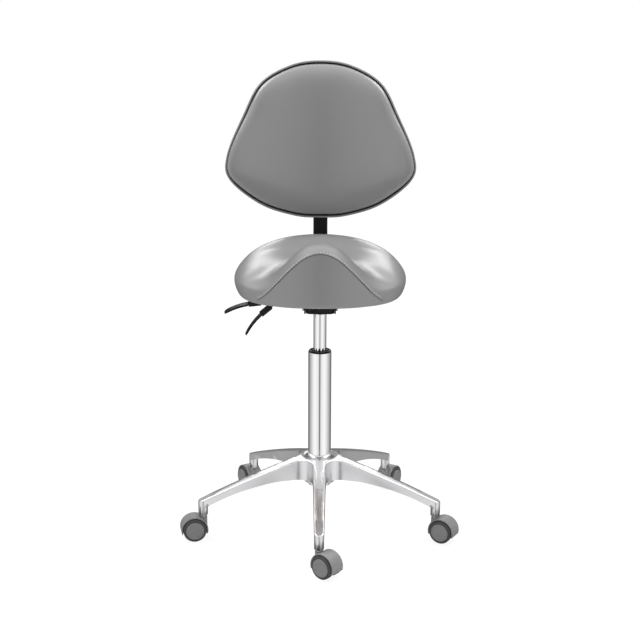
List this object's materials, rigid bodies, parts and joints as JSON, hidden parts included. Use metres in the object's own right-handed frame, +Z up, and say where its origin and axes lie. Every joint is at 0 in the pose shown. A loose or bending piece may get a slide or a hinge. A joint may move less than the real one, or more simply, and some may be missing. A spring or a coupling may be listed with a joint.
{
  "type": "dentist stool",
  "caption": "Saddle stool for dental work: split-level padded saddle and curved lumbar backrest on a gas lift, with hand levers, a cast star base and hooded twin-wheel casters.",
  "frame": {"origin": "on the floor, on the column's axis, where all the wheels stand on the plane z = 0", "axes": "+Z up along the column, -Y towards the front of the saddle, so the sitter faces -Y and the backrest is at +Y; the hand levers are on the -X side"},
  "size_m": [0.6027, 0.5768, 0.995],
  "materials": {
    "polished_aluminium": "polished die casting",
    "chrome": "mirror chrome plating",
    "bright_steel": "ground steel",
    "zinc_steel": "zinc plated",
    "black_steel": "satin black powder coat",
    "black_plastic": "fine moulded grain, satin",
    "plywood": "raw birch plywood",
    "grey_vinyl": "satin grey upholstery vinyl with stitched seams",
    "grey_plastic": "satin moulded",
    "wheel_plastic": "satin moulded",
    "soft_tread": "soft polyurethane tread"
  },
  "bodies": {
    "base": {"star_base": "polished_aluminium", "column_tube": "chrome", "guide_bush": "black_plastic", "thrust_bearing": "bright_steel"},
    "rod": {"piston_rod": "bright_steel", "rod_clip": "bright_steel"},
    "lift": {"gas_cylinder": "chrome", "mechanism_housing": "black_steel", "mechanism_pins": "zinc_steel"},
    "release": {"release_pin": "bright_steel"},
    "height_lever": {"height_lever_rod": "black_steel", "height_lever_grip": "black_plastic"},
    "tilt_lever": {"tilt_lever_rod": "black_steel", "tilt_lever_grip": "black_plastic"},
    "seat": {"seat_plate": "black_steel", "seat_pan": "plywood", "seat_screws": "zinc_steel", "seat_cushion": "grey_vinyl"},
    "back_arm": {"back_bar": "black_steel"},
    "depth_knob": {"depth_knob": "black_plastic"},
    "backrest": {"backrest_shell": "black_plastic", "backrest_cushion": "grey_vinyl", "back_slider": "black_steel", "backrest_screws": "zinc_steel"},
    "height_knob": {"height_knob": "black_plastic"},
    "swivel_front": {"caster_front_hood": "grey_plastic", "caster_front_stem": "zinc_steel", "caster_front_axle": "zinc_steel"},
    "wheel_front_left": {"caster_front_wheel_left": "wheel_plastic", "caster_front_tyre_left": "soft_tread"},
    "wheel_front_right": {"caster_front_wheel_right": "wheel_plastic", "caster_front_tyre_right": "soft_tread"},
    "swivel_right": {"caster_right_hood": "grey_plastic", "caster_right_stem": "zinc_steel", "caster_right_axle": "zinc_steel"},
    "wheel_right_left": {"caster_right_wheel_left": "wheel_plastic", "caster_right_tyre_left": "soft_tread"},
    "wheel_right_right": {"caster_right_wheel_right": "wheel_plastic", "caster_right_tyre_right": "soft_tread"},
    "swivel_rear_right": {"caster_rear_right_hood": "grey_plastic", "caster_rear_right_stem": "zinc_steel", "caster_rear_right_axle": "zinc_steel"},
    "wheel_rear_right_left": {"caster_rear_right_wheel_left": "wheel_plastic", "caster_rear_right_tyre_left": "soft_tread"},
    "wheel_rear_right_right": {"caster_rear_right_wheel_right": "wheel_plastic", "caster_rear_right_tyre_right": "soft_tread"},
    "swivel_rear_left": {"caster_rear_left_hood": "grey_plastic", "caster_rear_left_stem": "zinc_steel", "caster_rear_left_axle": "zinc_steel"},
    "wheel_rear_left_left": {"caster_rear_left_wheel_left": "wheel_plastic", "caster_rear_left_tyre_left": "soft_tread"},
    "wheel_rear_left_right": {"caster_rear_left_wheel_right": "wheel_plastic", "caster_rear_left_tyre_right": "soft_tread"},
    "swivel_left": {"caster_left_hood": "grey_plastic", "caster_left_stem": "zinc_steel", "caster_left_axle": "zinc_steel"},
    "wheel_left_left": {"caster_left_wheel_left": "wheel_plastic", "caster_left_tyre_left": "soft_tread"},
    "wheel_left_right": {"caster_left_wheel_right": "wheel_plastic", "caster_left_tyre_right": "soft_tread"}
  },
  "joints": [
    {"name": "seat_swivel", "type": "hinge", "parent": "base", "child": "rod", "pos_m": [0, 0, 0.1], "axis": [0, 0, 1], "continuous": true},
    {"name": "seat_height", "type": "slide", "parent": "rod", "child": "lift", "axis": [0, 0, 1], "range_m": [-0.07, 0.13]},
    {"name": "height_lever_lift", "type": "hinge", "parent": "lift", "child": "height_lever", "pos_m": [-0.0225, 0, 0.5316], "axis": [0, 1, 0], "range_deg": [0, 6], "stiffness_Nm_per_rad": 1.5, "springref_deg": -5.73},
    {"name": "release_pin_press", "type": "slide", "parent": "lift", "child": "release", "axis": [0, 0, 1], "range_m": [-0.0026, 0]},
    {"name": "tilt_lever_lift", "type": "hinge", "parent": "lift", "child": "tilt_lever", "pos_m": [-0.0225, -0.0275, 0.5276], "axis": [0, 1, 0], "range_deg": [0, 6], "stiffness_Nm_per_rad": 1.5, "springref_deg": -5.73},
    {"name": "seat_tilt", "type": "hinge", "parent": "lift", "child": "seat", "pos_m": [0, 0.03, 0.511], "axis": [1, 0, 0], "range_deg": [-3, 10]},
    {"name": "back_depth", "type": "slide", "parent": "seat", "child": "back_arm", "axis": [0, 1, 0], "range_m": [-0.015, 0.025]},
    {"name": "depth_knob_turn", "type": "hinge", "parent": "seat", "child": "depth_knob", "pos_m": [0, 0.101, 0.505], "axis": [0, 0, 1], "range_deg": [0, 720]},
    {"name": "back_height", "type": "slide", "parent": "back_arm", "child": "backrest", "axis": [0, 0.0872, 0.9962], "range_m": [-0.025, 0.045]},
    {"name": "height_knob_turn", "type": "hinge", "parent": "backrest", "child": "height_knob", "pos_m": [0, 0.24717, 0.78562], "axis": [0, 0.9962, -0.0872], "range_deg": [0, 720]},
    {"name": "caster_front_swivel", "type": "hinge", "parent": "base", "child": "swivel_front", "pos_m": [0, -0.263, 0.054], "axis": [0, 0, 1], "continuous": true},
    {"name": "caster_front_roll_left", "type": "hinge", "parent": "swivel_front", "child": "wheel_front_left", "pos_m": [0.01554, -0.27559, 0.025], "axis": [0.6293, 0.7771, 0], "continuous": true},
    {"name": "caster_front_roll_right", "type": "hinge", "parent": "swivel_front", "child": "wheel_front_right", "pos_m": [0.01554, -0.27559, 0.025], "axis": [0.6293, 0.7771, 0], "continuous": true},
    {"name": "caster_right_swivel", "type": "hinge", "parent": "base", "child": "swivel_right", "pos_m": [0.25013, -0.08127, 0.054], "axis": [0, 0, 1], "continuous": true},
    {"name": "caster_right_roll_left", "type": "hinge", "parent": "swivel_right", "child": "wheel_right_left", "pos_m": [0.26762, -0.09097, 0.025], "axis": [0.4848, 0.8746, 0], "continuous": true},
    {"name": "caster_right_roll_right", "type": "hinge", "parent": "swivel_right", "child": "wheel_right_right", "pos_m": [0.26762, -0.09097, 0.025], "axis": [0.4848, 0.8746, 0], "continuous": true},
    {"name": "caster_rear_right_swivel", "type": "hinge", "parent": "base", "child": "swivel_rear_right", "pos_m": [0.15459, 0.21277, 0.054], "axis": [0, 0, 1], "continuous": true},
    {"name": "caster_rear_right_roll_left", "type": "hinge", "parent": "swivel_rear_right", "child": "wheel_rear_right_left", "pos_m": [0.16519, 0.22973, 0.025], "axis": [-0.848, 0.5299, 0], "continuous": true},
    {"name": "caster_rear_right_roll_right", "type": "hinge", "parent": "swivel_rear_right", "child": "wheel_rear_right_right", "pos_m": [0.16519, 0.22973, 0.025], "axis": [-0.848, 0.5299, 0], "continuous": true},
    {"name": "caster_rear_left_swivel", "type": "hinge", "parent": "base", "child": "swivel_rear_left", "pos_m": [-0.15459, 0.21277, 0.054], "axis": [0, 0, 1], "continuous": true},
    {"name": "caster_rear_left_roll_left", "type": "hinge", "parent": "swivel_rear_left", "child": "wheel_rear_left_left", "pos_m": [-0.16489, 0.22992, 0.025], "axis": [-0.8572, -0.515, 0], "continuous": true},
    {"name": "caster_rear_left_roll_right", "type": "hinge", "parent": "swivel_rear_left", "child": "wheel_rear_left_right", "pos_m": [-0.16489, 0.22992, 0.025], "axis": [-0.8572, -0.515, 0], "continuous": true},
    {"name": "caster_left_swivel", "type": "hinge", "parent": "base", "child": "swivel_left", "pos_m": [-0.25013, -0.08127, 0.054], "axis": [0, 0, 1], "continuous": true},
    {"name": "caster_left_roll_left", "type": "hinge", "parent": "swivel_left", "child": "wheel_left_left", "pos_m": [-0.26976, -0.08509, 0.025], "axis": [0.1908, -0.9816, 0], "continuous": true},
    {"name": "caster_left_roll_right", "type": "hinge", "parent": "swivel_left", "child": "wheel_left_right", "pos_m": [-0.26976, -0.08509, 0.025], "axis": [0.1908, -0.9816, 0], "continuous": true}
  ],
  "couplings": [
    {"joint": "release_pin_press", "follows": "height_lever_lift", "m_per_rad": -0.023873}
  ]
}
